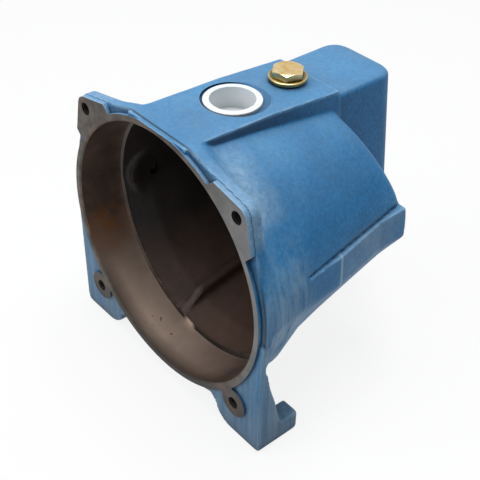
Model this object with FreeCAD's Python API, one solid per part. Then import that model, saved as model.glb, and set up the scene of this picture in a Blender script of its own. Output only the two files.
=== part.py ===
import FreeCAD, Part
import math
import os

os.makedirs("parts", exist_ok=True)

Vec = FreeCAD.Vector

# Cast iron body of a self-priming pump, in millimetres.
# The origin is the centre of the open round mouth, on its machined face.
# +Y runs into the body towards the suction port, +X is to the right, +Z is up.

# Machined mouth
mouth_radius = 80.0
mouth_lead_in = 0.9
register_depth = 29.7
register_step = 2.55
rim_width = 4.2
rim_height = 3.0

# Flange with four bolt ears and their tapped holes
flange_width = 6.5
flange_back_y = 15.0
flange_back_bevel = 3.5
flange_front_bevel = 1.4
bolt_circle_margin = 6.13
bolt_bore_radius = 3.3
bolt_bore_depth = 10.0
bolt_drill_point = 1.9
ear_back_y = 10.5
ear_back_round = 2.5
ear_radius = 7.8
land_inset = 0.5
land_inner_half_angle_deg = 15.5
land_outer_half_angle_deg = 10.5
lower_land_radius = 9.4
lower_land_bridge = 12.0

# Tapering barrel behind the flange, half an ellipse above, round below
barrel_start_y = 8.0
side_bulge = 1.8
side_taper_deg = 10.0
crown_drop = 3.2
crown_taper_deg = 6.8
wall = 5.0
waist_start_y = 24.0
waist_start_drop = 2.9
waist_end_y = 46.0
waist_drop = 5.7
waist_taper_deg = 9.2
end_wall_y = 126.5
end_wall_thickness = 6.0
end_lean = 19.5
end_lean_start_z = 17.0
end_lean_rise = 49.0

# Flat-sided belly on both flanks, measured out from the barrel
belly_top_z = 16.5
belly_bevel = 2.0
belly_bottom_z = -8.0
belly_bottom_bevel = 3.0
belly_side_flare = 1.7
belly_bite = 0.4
belly_root_y = 10.0
belly_root_out = -3.6
belly_corner_y = 65.0
belly_corner_out = 0.45
belly_tail_y = 104.0
belly_tail_out = -0.4
belly_end_out = 2.8
gutter_start_y = 38.0
gutter_start_out = -1.4
gutter_end_out = 0.1
gutter_width = 3.4
gutter_depth = 3.0
gutter_drop = 1.0
gutter_wall_lean = 0.75
gutter_start_share = 0.6

# Ridge along the top
ridge_half_width = 24.4
ridge_draft_deg = 4.0
ridge_front_y = 0.6
ridge_level_end_y = 63.0
ridge_fall = 5.2
ridge_edge_round = 2.0
crease_y = 110.0

# End block that carries the suction port
block_side_step = 0.2
block_top_step = 2.4
block_length = 46.6
block_drain_gap = 9.449
block_draft_deg = 3.0
block_corner_radius = 10.0
block_edge_round = 3.0

# Threaded ports, thread size G 1
port_major_radius = 16.62
thread_depth = 1.47
port_thread_length = 17.0
port_passage_step = 2.15
port_lead_out = 0.6
port_lead_depth = 2.1
spot_face_margin = 2.8
spot_face_shift = 1.8
discharge_y = 52.6
spot_face_depth = 2.3
suction_drop = 41.4
suction_face_out = 0.6
suction_face_margin = 3.9

# Priming plug hole, thread size G 3/8
plug_y = 93.0
plug_bore_radius = 8.4
plug_pad_width = 2.4
plug_seat_drop = 2.7
plug_spot_width = 3.5
plug_thread_clearance = 0.15

# Drain hole low in the end wall, thread size G 1/4
drain_bore_radius = 6.0
drain_boss_width = 5.5
drain_boss_height = 5.0
drain_floor_height = 18.3

# Feet
foot_width = 38.4
foot_drop = 5.1
foot_side_step = 0.1
foot_pad_height = 13.6
foot_length = 32.3
foot_front_y = 1.6
foot_plate_back_y = 6.0
foot_edge_round = 3.0
foot_plate_lean = 6.8
foot_inner_slant_width = 8.0
foot_inner_slant_height = 6.6
web_thickness = 9.0
web_top_y = 4.0
web_top_z = -10.0
web_neck_y = 6.0
web_neck_z = -33.0
web_knee_y = 13.5
web_knee_height = 21.0
web_foot_y = 18.5
slot_side_wall = 12.9
slot_width = 11.0
slot_start_y = 12.0

# Details inside the chamber
side_pad_y = 50.0
side_pad_radius = 17.0
side_pad_height = 1.6
side_pad_bore_radius = 3.6
side_pad_bore_depth = 4.0
floor_rib_x = -17.0
floor_rib_width = 5.0
floor_rib_height = 6.0
floor_rib_start_y = 40.0
floor_rib_run_in = 10.0

# White cap in the discharge port
cap_rim_width = 1.35
cap_rim_height = 2.0
cap_rim_round = 0.6
cap_wall = 2.0
cap_thread_clearance = 0.25
cap_depth = 13.0
cap_floor = 2.0

# Brass hexagon plugs and their sealing washers
plug_flange_width = 2.8
plug_flange_height = 2.0
plug_flange_round = 0.7
plug_hex_across_flats = 17.0
plug_hex_height = 4.2
plug_hex_chamfer_deg = 30.0
plug_hex_top_margin = 0.2
plug_hex_turn_deg = 12.0
plug_shank_length = 10.0
washer_thickness = 1.0
washer_width = 1.8
drain_flange_width = 3.2
drain_hex_across_flats = 13.0
drain_hex_height = 5.0
drain_shank_length = 9.0
drain_washer_width = 3.4

Y_AXIS = Vec(0, 1, 0)
Z_AXIS = Vec(0, 0, 1)
ORIGIN = Vec(0, 0, 0)

# Working allowances: cuts run past their faces, joined solids reach into each other,
# and two places or directions count as the same when they are this near
overlap = 1.0
far = 400.0
near = 0.01
nearly_parallel = 0.9

# Sizes that follow from the ones above
side_slope = math.tan(math.radians(side_taper_deg))
crown_slope = math.tan(math.radians(crown_taper_deg))
waist_slope = math.tan(math.radians(waist_taper_deg))
ridge_draft = math.tan(math.radians(ridge_draft_deg))
block_draft = math.tan(math.radians(block_draft_deg))
inner_radius = mouth_radius - register_step
inside_z = inner_radius / 2
flange_radius = mouth_radius + flange_width
bolt_reach = flange_radius + bolt_circle_margin
bolt_offset = bolt_reach / math.sqrt(2)
side_radius = flange_radius + side_bulge
crown_radius = flange_radius - crown_drop
waist_start_radius = flange_radius - waist_start_drop
waist_radius = mouth_radius - waist_drop
ridge_top_z = math.sqrt(flange_radius ** 2 - ridge_half_width ** 2)
ridge_low_z = ridge_top_z - ridge_fall
block_half_width = ridge_half_width + block_side_step
block_top_z = ridge_low_z - block_top_step
block_end_y = crease_y + block_length
port_minor_radius = port_major_radius - thread_depth
port_passage_radius = port_minor_radius - port_passage_step
spot_face_radius = port_major_radius + spot_face_margin
spot_face_z = ridge_top_z - spot_face_depth
suction_z = block_top_z - suction_drop
suction_face_y = block_end_y + suction_face_out
suction_face_radius = port_major_radius + suction_face_margin
plug_pad_radius = plug_bore_radius + plug_pad_width
plug_seat_z = ridge_top_z - plug_seat_drop
drain_boss_radius = drain_bore_radius + drain_boss_width
drain_z = drain_floor_height - (waist_radius - (end_wall_y - waist_end_y) * waist_slope)
block_bottom_z = drain_z + drain_boss_radius + block_drain_gap
foot_outer_x = flange_radius - foot_side_step
foot_inner_x = foot_outer_x - foot_width
foot_bottom_z = -flange_radius - foot_drop
foot_pad_top_z = foot_bottom_z + foot_pad_height
slot_centre_x = foot_outer_x - slot_side_wall - slot_width / 2
web_knee_z = foot_pad_top_z + web_knee_height


def side_at(y):
    return side_radius - (y - barrel_start_y) * side_slope


def crown_at(y):
    return crown_radius - (y - barrel_start_y) * crown_slope


def low_at(y):
    return waist_radius - (y - waist_end_y) * waist_slope


def face_of(points):
    return Part.Face(Part.makePolygon(points + [points[0]]))


def prism(points, direction):
    return face_of(points).extrude(direction)


def box_between(low, high):
    size = high.sub(low)
    return Part.makeBox(size.x, size.y, size.z, low)


def cylinder_y(radius, start_y, end_y, x=0.0, z=0.0):
    return Part.makeCylinder(radius, end_y - start_y, Vec(x, start_y, z), Y_AXIS)


def cylinder_z(radius, low_z, high_z, x=0.0, y=0.0):
    return Part.makeCylinder(radius, high_z - low_z, Vec(x, y, low_z), Z_AXIS)


def turned_about_y(profile):
    # profile is a list of (radius, y) corners
    points = [Vec(radius, y, 0) for radius, y in profile]
    return face_of(points).revolve(ORIGIN, Y_AXIS, 360)


def rounded_edges(shape, radius, wanted):
    edges = [edge for edge in shape.Edges if wanted(edge)]
    return shape.makeFillet(radius, edges) if edges else shape


def middle(edge):
    return edge.valueAt((edge.FirstParameter + edge.LastParameter) / 2)


def runs_along(edge, axis):
    return abs(edge.tangentAt(edge.FirstParameter).dot(axis)) > nearly_parallel


def mirrored(shape):
    return shape.mirror(ORIGIN, Vec(1, 0, 0))


def end_lean_solid(offset):
    # everything in front of the leaning end wall, moved forward by the offset
    foot_y = end_wall_y - offset
    lean = end_lean / end_lean_rise
    outline = [
        Vec(-far, -far, -far),
        Vec(-far, foot_y, -far),
        Vec(-far, foot_y, end_lean_start_z),
        Vec(-far, foot_y - (far - end_lean_start_z) * lean, far),
        Vec(-far, -far, far),
    ]
    return prism(outline, Vec(2 * far, 0, 0))


def tangent_point(x, z, radius):
    # lower point where a line from (x, z) touches the circle about the Y axis
    distance = math.hypot(x, z)
    angle = math.atan2(z, x) - math.acos(radius / distance)
    return radius * math.cos(angle), radius * math.sin(angle)


def barrel_section(y, side, crown, low):
    # half an ellipse above, then straight flanks that touch a circle below
    arch = Part.Arc(Vec(side, y, 0), Vec(0, y, side), Vec(-side, y, 0)).toShape()
    flatten = FreeCAD.Matrix()
    flatten.A33 = crown / side
    arch = arch.transformGeometry(flatten)
    touch_x, touch_z = tangent_point(side, 0, low)
    bottom = Part.Arc(Vec(-touch_x, y, touch_z), Vec(0, y, -low), Vec(touch_x, y, touch_z))
    return Part.Wire([
        arch.Edges[0],
        Part.makeLine(Vec(-side, y, 0), Vec(-touch_x, y, touch_z)),
        bottom.toShape(),
        Part.makeLine(Vec(touch_x, y, touch_z), Vec(side, y, 0)),
    ])


def barrel():
    stations = [
        (barrel_start_y, waist_start_radius),
        (waist_start_y, waist_start_radius),
        (waist_end_y, waist_radius),
        (end_wall_y + overlap, low_at(end_wall_y + overlap)),
    ]
    sections = [barrel_section(y, side_at(y), crown_at(y), low) for y, low in stations]
    return Part.makeLoft(sections, True, True)


def belly_section(y, top_x, radius):
    low_x = top_x + belly_side_flare
    touch_x, touch_z = tangent_point(low_x - belly_bottom_bevel, belly_bottom_z, radius - belly_bite)
    right = [
        (top_x - belly_bevel, belly_top_z),
        (top_x, belly_top_z - belly_bevel),
        (low_x, belly_bottom_z + belly_bottom_bevel),
        (low_x - belly_bottom_bevel / 2, belly_bottom_z),
        (touch_x, touch_z),
    ]
    left = [(-x, z) for x, z in reversed(right)]
    points = [Vec(x, y, z) for x, z in right + left]
    return Part.makePolygon(points + [points[0]])


def belly():
    def section(y, out, low):
        return belly_section(y, side_at(y) + out, low)
    share = (waist_end_y - belly_root_y) / (belly_corner_y - belly_root_y)
    waist_out = belly_root_out + (belly_corner_out - belly_root_out) * share
    sections = [
        section(belly_root_y, belly_root_out, mouth_radius),
        section(waist_end_y, waist_out, waist_radius),
        section(belly_corner_y, belly_corner_out, low_at(belly_corner_y)),
        section(belly_tail_y, belly_tail_out, low_at(belly_tail_y)),
        section(end_wall_y, belly_end_out, low_at(end_wall_y)),
    ]
    return Part.makeLoft(sections, True, True)


def gutter():
    # gutter between the shoulder and the top of the belly, wider towards the end
    def section(y, out, share):
        floor_x = side_at(y) + out
        past_x = floor_x + 2 * gutter_depth * share
        drop = gutter_drop * share
        high_z = belly_top_z + gutter_width * share
        return Part.makePolygon([
            Vec(floor_x - gutter_depth * share, y, belly_top_z - drop),
            Vec(past_x, y, belly_top_z - drop / 2),
            Vec(past_x, y, high_z),
            Vec(floor_x - gutter_wall_lean * share, y, high_z),
            Vec(floor_x - gutter_depth * share, y, belly_top_z - drop),
        ])
    start = section(gutter_start_y, gutter_start_out, gutter_start_share)
    end = section(end_wall_y + overlap, gutter_end_out, 1.0)
    return Part.makeLoft([start, end], True, True)


def behind_plane(point, outward):
    # everything on the inner side of a plane
    block = Part.makeBox(2 * far, 2 * far, far, Vec(-far, -far, -far))
    block.Placement = FreeCAD.Placement(point, FreeCAD.Rotation(Z_AXIS, outward))
    return block


def ridge():
    # flat bar with drafted sides, level at first, then falling towards the end block
    bar = prism([
        Vec(-far, ridge_front_y, 0),
        Vec(-far, ridge_front_y, ridge_top_z),
        Vec(-far, ridge_level_end_y, ridge_top_z),
        Vec(-far, crease_y, ridge_low_z),
        Vec(-far, crease_y, 0),
    ], Vec(2 * far, 0, 0))
    for sx in (-1, 1):
        side = behind_plane(Vec(sx * ridge_half_width, 0, ridge_top_z), Vec(sx, 0, ridge_draft))
        bar = bar.common(side)
    return rounded_edges(bar, ridge_edge_round, is_ridge_top_edge)


def is_ridge_top_edge(edge):
    point = middle(edge)
    return runs_along(edge, Y_AXIS) and point.z > ridge_low_z - overlap


def end_block():
    # drafted block, narrower at the top, with round far corners
    block = box_between(
        Vec(-2 * block_half_width, crease_y - overlap, block_bottom_z),
        Vec(2 * block_half_width, far, block_top_z),
    )
    for sx in (-1, 1):
        side = behind_plane(Vec(sx * block_half_width, 0, block_top_z), Vec(sx, 0, block_draft))
        block = block.common(side)
    block = block.common(behind_plane(Vec(0, block_end_y, block_top_z), Vec(0, 1, block_draft)))
    block = rounded_edges(block, block_corner_radius, is_block_corner)
    return rounded_edges(block, block_edge_round, is_block_rim_edge)


def is_block_corner(edge):
    return runs_along(edge, Z_AXIS) and middle(edge).y > crease_y


def is_block_rim_edge(edge):
    point = middle(edge)
    on_top = abs(point.z - block_top_z) < near
    on_bottom = abs(point.z - block_bottom_z) < near
    return (on_top or on_bottom) and point.y > crease_y


def tangent_outline(y, ring, lobe):
    # round flange with four ears: arcs about the bolt holes, joined by tangent lines
    turn = math.acos((ring - lobe) / bolt_reach)
    edges = []
    last_end = None
    first_start = None
    for quarter in range(4):
        centre = math.radians(45 + 90 * quarter)
        hole = Vec(bolt_reach * math.cos(centre), y, bolt_reach * math.sin(centre))
        def on_ring(angle):
            return Vec(ring * math.cos(angle), y, ring * math.sin(angle))
        def on_lobe(angle):
            return hole.add(Vec(lobe * math.cos(angle), 0, lobe * math.sin(angle)))
        start = on_ring(centre - turn)
        end = on_ring(centre + turn)
        if last_end is not None:
            between = centre - math.radians(45)
            edges.append(Part.Arc(last_end, on_ring(between), start).toShape())
        else:
            first_start = start
        edges.append(Part.makeLine(start, on_lobe(centre - turn)))
        edges.append(Part.Arc(on_lobe(centre - turn), on_lobe(centre), on_lobe(centre + turn)).toShape())
        edges.append(Part.makeLine(on_lobe(centre + turn), end))
        last_end = end
    closing = Vec(ring, y, 0)
    edges.append(Part.Arc(last_end, closing, first_start).toShape())
    return Part.Wire(edges)


def above_ridge_level():
    # the crown never rises above the flat top of the ridge
    return box_between(Vec(-far, -far, ridge_top_z), Vec(far, end_wall_y, far))


def flange():
    ring = turned_about_y([
        (0, rim_height),
        (flange_radius - flange_front_bevel, rim_height),
        (flange_radius, rim_height + flange_front_bevel),
        (flange_radius, flange_back_y - flange_back_bevel),
        (flange_radius - flange_back_bevel, flange_back_y),
        (0, flange_back_y),
    ])
    ears = Part.Face(tangent_outline(rim_height, flange_radius - overlap, ear_radius))
    ears = ears.extrude(Vec(0, ear_back_y - rim_height, 0))
    ears = rounded_edges(ears, ear_back_round, lambda edge: abs(middle(edge).y - ear_back_y) < near)
    return ring.fuse(ears)


def ear_land_limit(centre_deg):
    # four-sided window about one ear, narrower at its outer end
    def polar(radius, angle_deg):
        angle = math.radians(angle_deg)
        return Vec(radius * math.cos(angle), -far, radius * math.sin(angle))
    inner = mouth_radius
    outer = bolt_reach + 2 * ear_radius
    return prism([
        polar(inner, centre_deg - land_inner_half_angle_deg),
        polar(outer, centre_deg - land_outer_half_angle_deg),
        polar(outer, centre_deg + land_outer_half_angle_deg),
        polar(inner, centre_deg + land_inner_half_angle_deg),
    ], Vec(0, 2 * far, 0))


def machined_lands():
    # the bare rim, the two upper ear faces and the round lower ear faces
    back_y = rim_height + overlap
    lands = [cylinder_y(mouth_radius + rim_width, 0, back_y)]
    upper = tangent_outline(0, flange_radius - overlap - land_inset, ear_radius - land_inset)
    upper = Part.Face(upper).extrude(Vec(0, back_y, 0))
    for centre in (45, 135):
        lands.append(upper.common(ear_land_limit(centre)))
    for sx in (-1, 1):
        lands.append(cylinder_y(lower_land_radius, 0, back_y, sx * bolt_offset, -bolt_offset))
        bridge = box_between(
            Vec(-lower_land_bridge / 2, 0, -bolt_reach),
            Vec(lower_land_bridge / 2, back_y, -mouth_radius),
        )
        bridge.rotate(ORIGIN, Y_AXIS, -45 * sx)
        lands.append(bridge)
    return lands


def foot():
    front_y = foot_front_y
    low_z = foot_pad_top_z - overlap
    # web that comes down from the flange, seen from the side
    web_side = prism([
        Vec(foot_outer_x, front_y, web_top_z),
        Vec(foot_outer_x, web_top_y, web_top_z),
        Vec(foot_outer_x, web_neck_y, web_neck_z),
        Vec(foot_outer_x, web_knee_y, web_knee_z),
        Vec(foot_outer_x, web_foot_y, foot_pad_top_z),
        Vec(foot_outer_x, web_foot_y, low_z),
        Vec(foot_outer_x, front_y, low_z),
    ], Vec(-web_thickness, 0, 0))
    # front plate between the ring and the pad, its inner corners hidden in the ring
    hidden = mouth_radius + flange_width / 2
    inner_reach = foot_inner_x - foot_plate_lean
    front = prism([
        Vec(foot_outer_x, front_y, low_z),
        Vec(foot_outer_x, front_y, web_neck_z),
        Vec(math.sqrt(hidden ** 2 - web_neck_z ** 2), front_y, web_neck_z),
        Vec(hidden / math.sqrt(2), front_y, -hidden / math.sqrt(2)),
        Vec(inner_reach, front_y, -math.sqrt(hidden ** 2 - inner_reach ** 2)),
        Vec(foot_inner_x, front_y, low_z),
    ], Vec(0, foot_plate_back_y - front_y, 0))
    pad = box_between(
        Vec(foot_inner_x, front_y, foot_bottom_z),
        Vec(foot_outer_x, foot_length, foot_pad_top_z),
    )
    pad = rounded_edges(pad, foot_edge_round, is_pad_outer_edge)
    slant = prism([
        Vec(foot_inner_x - overlap, front_y - overlap, foot_bottom_z - overlap),
        Vec(foot_inner_x + foot_inner_slant_width, front_y - overlap, foot_bottom_z - overlap),
        Vec(foot_inner_x + foot_inner_slant_width, front_y - overlap, foot_bottom_z),
        Vec(foot_inner_x, front_y - overlap, foot_bottom_z + foot_inner_slant_height),
        Vec(foot_inner_x - overlap, front_y - overlap, foot_bottom_z + foot_inner_slant_height),
    ], Vec(0, foot_length + 2 * overlap, 0))
    slot_radius = slot_width / 2
    slot_arc_y = slot_start_y + slot_radius
    slot = cylinder_z(slot_radius, foot_bottom_z - overlap, foot_pad_top_z + overlap,
                      slot_centre_x, slot_arc_y)
    slot = slot.fuse(box_between(
        Vec(slot_centre_x - slot_radius, slot_arc_y, foot_bottom_z - overlap),
        Vec(slot_centre_x + slot_radius, foot_length + overlap, foot_pad_top_z + overlap),
    ))
    return front.fuse([web_side, pad]).cut([slot, slant])


def is_pad_outer_edge(edge):
    point = middle(edge)
    outer = abs(point.x - foot_outer_x) < near
    back = abs(point.y - foot_length) < near
    low = abs(point.z - foot_bottom_z) < near
    return (runs_along(edge, Z_AXIS) and back) or (outer and low)


def chamber():
    # machined register, then the cast chamber that tapers to the end wall
    lead = mouth_lead_in
    register = turned_about_y([
        (0, -overlap),
        (mouth_radius + lead, -overlap),
        (mouth_radius + lead, 0),
        (mouth_radius, lead),
        (mouth_radius, register_depth),
        (0, register_depth),
    ])
    # the cast part keeps an even wall inside the barrel
    start = register_depth - overlap
    side_inset = side_at(start) - inner_radius
    crown_inset = crown_at(start) - inner_radius
    stations = [
        (start, inner_radius - register_step / 2),
        (waist_end_y, waist_radius - wall),
        (end_wall_y, low_at(end_wall_y) - wall),
    ]
    sections = []
    for y, low in stations:
        sections.append(barrel_section(y, side_at(y) - side_inset, crown_at(y) - crown_inset, low))
    cast = Part.makeLoft(sections, True, True).common(end_lean_solid(end_wall_thickness))
    return register.fuse(cast)


def chamber_details():
    # round pad with a small blind hole on the left wall, and a low rib on the floor
    inner_side = side_at(side_pad_y) - side_at(register_depth) + inner_radius
    pad_x = side_pad_height - inner_side
    inward = Vec(-1, 0, 0)
    pad = Part.makeCylinder(side_pad_radius, wall, Vec(pad_x, side_pad_y, 0), inward)
    bore_start = Vec(pad_x + overlap, side_pad_y, 0)
    bore = Part.makeCylinder(side_pad_bore_radius, side_pad_bore_depth + overlap, bore_start, inward)
    rib_end_y = end_wall_y - overlap
    floor_start = low_at(floor_rib_start_y) - wall
    floor_end = low_at(rib_end_y) - wall
    crest_y = floor_rib_start_y + floor_rib_run_in
    rib = prism([
        Vec(floor_rib_x, floor_rib_start_y, -floor_start),
        Vec(floor_rib_x, crest_y, floor_rib_height - low_at(crest_y) + wall),
        Vec(floor_rib_x, rib_end_y, floor_rib_height - floor_end),
        Vec(floor_rib_x, rib_end_y, -floor_end - overlap),
        Vec(floor_rib_x, floor_rib_start_y, -floor_start - overlap),
    ], Vec(-floor_rib_width, 0, 0))
    return pad, bore, rib


def threaded_port(depth):
    # cutter for a port, opening at z = 0 and going down: lead, thread, passage
    passage = cylinder_z(port_passage_radius, -depth, 0)
    thread = cylinder_z(port_minor_radius, -port_thread_length, overlap)
    lead = Part.makeCone(port_minor_radius, port_major_radius + port_lead_out, port_lead_depth,
                         Vec(0, 0, -port_lead_depth), Z_AXIS)
    return passage.fuse([thread, lead])


def discharge_cutter():
    # the spot face sits a little behind the centre of the port
    cutter = threaded_port(spot_face_z - inside_z)
    spot = cylinder_z(spot_face_radius, 0, far, 0, spot_face_shift)
    cutter = cutter.fuse(spot)
    cutter.translate(Vec(0, discharge_y, spot_face_z))
    return cutter


def priming_cutter():
    # plain hole with a shallow spot face where the washer sits
    hole = cylinder_z(plug_bore_radius, inside_z, far, 0, plug_y)
    spot = cylinder_z(plug_bore_radius + plug_spot_width, plug_seat_z, far, 0, plug_y)
    return hole.fuse(spot)


def suction_cutter():
    # the suction port lies along Y, with a flat face cut into the end of the block
    cutter = threaded_port(suction_face_y - end_wall_y + end_lean)
    cutter = cutter.fuse(cylinder_z(suction_face_radius, 0, far))
    cutter.rotate(ORIGIN, Vec(1, 0, 0), -90)
    cutter.translate(Vec(0, suction_face_y, suction_z))
    return cutter


def bolt_hole(sx, sz):
    x = sx * bolt_offset
    z = sz * bolt_offset
    hole = cylinder_y(bolt_bore_radius, -overlap, bolt_bore_depth, x, z)
    point = Part.makeCone(bolt_bore_radius, 0, bolt_drill_point, Vec(x, bolt_bore_depth, z), Y_AXIS)
    return hole.fuse(point)


def outer_body():
    body = barrel().fuse(belly())
    body = body.cut([gutter(), mirrored(gutter())]).common(end_lean_solid(0))
    body = body.fuse([flange()] + machined_lands()).cut(above_ridge_level())
    right_foot = foot()
    plug_pad = cylinder_z(plug_pad_radius, ridge_low_z - wall, plug_seat_z, 0, plug_y)
    drain_boss = cylinder_y(drain_boss_radius, end_wall_y - wall, end_wall_y + drain_boss_height,
                            0, drain_z)
    return body.fuse([ridge(), end_block(), right_foot, mirrored(right_foot), plug_pad, drain_boss])


def casing():
    body = outer_body().cut(chamber())
    trunk = barrel()
    pad, pad_bore, rib = chamber_details()
    body = body.fuse([pad.common(trunk), rib.common(trunk)])
    drain_hole = cylinder_y(drain_bore_radius, end_wall_y - 2 * end_wall_thickness,
                            end_wall_y + drain_boss_height + overlap, 0, drain_z)
    for cutter in (pad_bore, discharge_cutter(), suction_cutter(), priming_cutter(), drain_hole):
        body = body.cut(cutter)
    for sx in (-1, 1):
        for sz in (-1, 1):
            body = body.cut(bolt_hole(sx, sz))
    return body


def hexagon(across_flats, height, base_z):
    # six-sided head with its top corners turned off
    radius = across_flats / math.sqrt(3)
    points = []
    for index in range(6):
        angle = math.radians(360 / 6 * index + plug_hex_turn_deg)
        points.append(Vec(radius * math.cos(angle), radius * math.sin(angle), base_z))
    body = prism(points, Vec(0, 0, height))
    top_radius = across_flats / 2 - plug_hex_top_margin
    low_radius = top_radius + height / math.tan(math.radians(plug_hex_chamfer_deg))
    turned_off = Part.makeCone(low_radius, top_radius, height, Vec(0, 0, base_z), Z_AXIS)
    return body.common(turned_off)


def rim_disc(radius, height, edge_round):
    # disc on z = 0 with a rounded upper edge
    disc = cylinder_z(radius, 0, height)
    return rounded_edges(disc, edge_round, lambda edge: middle(edge).z > height - near)


def hex_plug(flange_radius, across_flats, hex_height, shank_radius, shank_length):
    # seat at z = 0, hexagon above, shank below
    flange = rim_disc(flange_radius, plug_flange_height, plug_flange_round)
    head = hexagon(across_flats, hex_height + overlap, plug_flange_height - overlap)
    shank = cylinder_z(shank_radius, -shank_length, overlap)
    return flange.fuse([head, shank]).removeSplitter()


def washer(outer_radius, hole_radius):
    return cylinder_z(outer_radius, 0, washer_thickness).cut(cylinder_z(hole_radius, 0, washer_thickness))


def filler_parts():
    plug = hex_plug(plug_bore_radius + plug_flange_width, plug_hex_across_flats, plug_hex_height,
                    plug_bore_radius - plug_thread_clearance, plug_shank_length)
    seal = washer(plug_bore_radius + washer_width, plug_bore_radius)
    seal.translate(Vec(0, plug_y, plug_seat_z))
    plug.translate(Vec(0, plug_y, plug_seat_z + washer_thickness))
    return plug, seal


def drain_parts():
    plug = hex_plug(drain_bore_radius + drain_flange_width, drain_hex_across_flats, drain_hex_height,
                    drain_bore_radius - plug_thread_clearance, drain_shank_length)
    seal = washer(drain_bore_radius + drain_washer_width, drain_bore_radius)
    face_y = end_wall_y + drain_boss_height
    for shape, lift in ((plug, washer_thickness), (seal, 0)):
        shape.rotate(ORIGIN, Vec(1, 0, 0), -90)
        shape.translate(Vec(0, face_y + lift, drain_z))
    return plug, seal


def discharge_cap():
    # thin-walled cup with a rim, pushed into the port
    rim_radius = port_minor_radius + cap_rim_width
    body_radius = port_minor_radius - cap_thread_clearance
    rim = rim_disc(rim_radius, cap_rim_height, cap_rim_round)
    body = cylinder_z(body_radius, -cap_depth, overlap)
    hollow = cylinder_z(body_radius - cap_wall, cap_floor - cap_depth, far)
    cap = rim.fuse(body).cut(hollow).removeSplitter()
    cap.translate(Vec(0, discharge_y, spot_face_z))
    return cap


filler_plug, filler_washer = filler_parts()
drain_plug, drain_washer = drain_parts()

casing().exportStep("parts/casing.step")
discharge_cap().exportStep("parts/discharge_cap.step")
filler_plug.exportStep("parts/filler_plug.step")
filler_washer.exportStep("parts/filler_washer.step")
drain_plug.exportStep("parts/drain_plug.step")
drain_washer.exportStep("parts/drain_washer.step")
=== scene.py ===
import math

import bmesh
import bpy
import numpy as np
import openvdb
from mathutils import Matrix, Vector


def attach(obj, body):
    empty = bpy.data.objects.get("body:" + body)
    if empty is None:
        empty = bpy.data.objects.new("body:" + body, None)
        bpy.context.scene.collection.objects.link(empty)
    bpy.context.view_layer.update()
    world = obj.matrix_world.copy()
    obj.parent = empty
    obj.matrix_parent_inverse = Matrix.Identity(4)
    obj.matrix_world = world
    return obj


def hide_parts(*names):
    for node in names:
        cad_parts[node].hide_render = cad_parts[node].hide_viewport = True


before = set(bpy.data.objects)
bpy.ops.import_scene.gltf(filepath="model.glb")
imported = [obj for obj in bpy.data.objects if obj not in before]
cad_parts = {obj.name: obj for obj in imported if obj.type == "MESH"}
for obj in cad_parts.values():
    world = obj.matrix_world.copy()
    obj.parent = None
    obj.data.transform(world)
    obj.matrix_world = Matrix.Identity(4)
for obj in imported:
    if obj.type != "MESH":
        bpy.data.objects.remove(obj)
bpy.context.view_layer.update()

# All sizes are millimetres in the row frame: mouth centre at the origin, +Y into the body, +Z up.
MM = 0.001

# Open mouth, flange ring and ears
mouth_radius = 80.0
mouth_lead_in = 0.9
register_depth = 29.7
inner_radius = mouth_radius - 2.55
rim_outer_radius = mouth_radius + 4.2
rim_height = 3.0
flange_radius = mouth_radius + 6.5
flange_back_y = 15.0
flange_back_bevel = 3.5
bolt_reach = flange_radius + 6.13
bolt_offset = bolt_reach / math.sqrt(2)
bolt_bore_radius = 3.3
bolt_bore_depth = 10.0
bolt_thread_pitch = 1.25
bolt_thread_depth = 0.5
bolt_thread_start_y = 0.6
bolt_lead = 0.8
ear_radius = 7.8
ear_ring_radius = flange_radius - 1.0
ear_back_y = 10.5
land_inset = 0.5
land_back_y = rim_height + 1.5
land_window_radius = flange_radius * 1.25
land_inner_half_angle = math.radians(15.5)
land_outer_half_angle = math.radians(10.5)
lower_land_radius = 9.4
lower_land_bridge = 12.0

# Tapering barrel and its leaning end wall
barrel_start_y = 8.0
side_radius = flange_radius + 1.8
side_slope = math.tan(math.radians(10.0))
crown_radius = flange_radius - 3.2
crown_slope = math.tan(math.radians(6.8))
waist_start_y = 24.0
waist_start_radius = flange_radius - 3.4
waist_end_y = 46.0
waist_radius = mouth_radius - 5.7
waist_fullness = 0.9
front_crown_drop = 0.8
chamber_low_inset = 1.2
waist_slope = math.tan(math.radians(9.2))
wall = 5.0
end_wall_y = 126.5
end_wall_thickness = 6.0
end_lean = 19.5
end_lean_start_z = 17.0
end_lean_rise = 49.0

# Flat-sided belly and the gutter above it, measured out from the barrel
belly_top_z = 16.5
belly_bottom_z = -8.0
belly_side_flare = 1.7
belly_bottom_bevel = 3.0
belly_bite = 0.4
belly_ys = (10.0, 65.0, 104.0, 126.5)
belly_outs = (-3.6, 0.45, -0.4, 2.8)
belly_edge_x = side_radius - (belly_ys[1] - barrel_start_y) * side_slope - 2
gutter_start_y = 38.0
gutter_start_out = -1.4
gutter_end_out = 0.1
gutter_width = 3.4
gutter_depth = 3.0
gutter_start_share = 0.6
gutter_drop = 0.8
gutter_lean = 0.75

# Ridge and end block
ridge_half_width = 24.4
ridge_draft = math.radians(4.0)
ridge_front_y = 0.6
ridge_top_z = math.sqrt(flange_radius ** 2 - ridge_half_width ** 2)
ridge_level_end_y = 18.0
ridge_knee_y = 63.0
ridge_knee_z = ridge_top_z - 1.5
ridge_low_z = ridge_top_z - 5.2
crease_y = 110.0
block_half_width = ridge_half_width + 0.2
block_top_z = ridge_low_z - 2.4
block_bottom_z = block_top_z - 97.4
block_end_y = crease_y + 46.6
block_draft = math.radians(3.0)
block_corner_radius = 10.0

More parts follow.
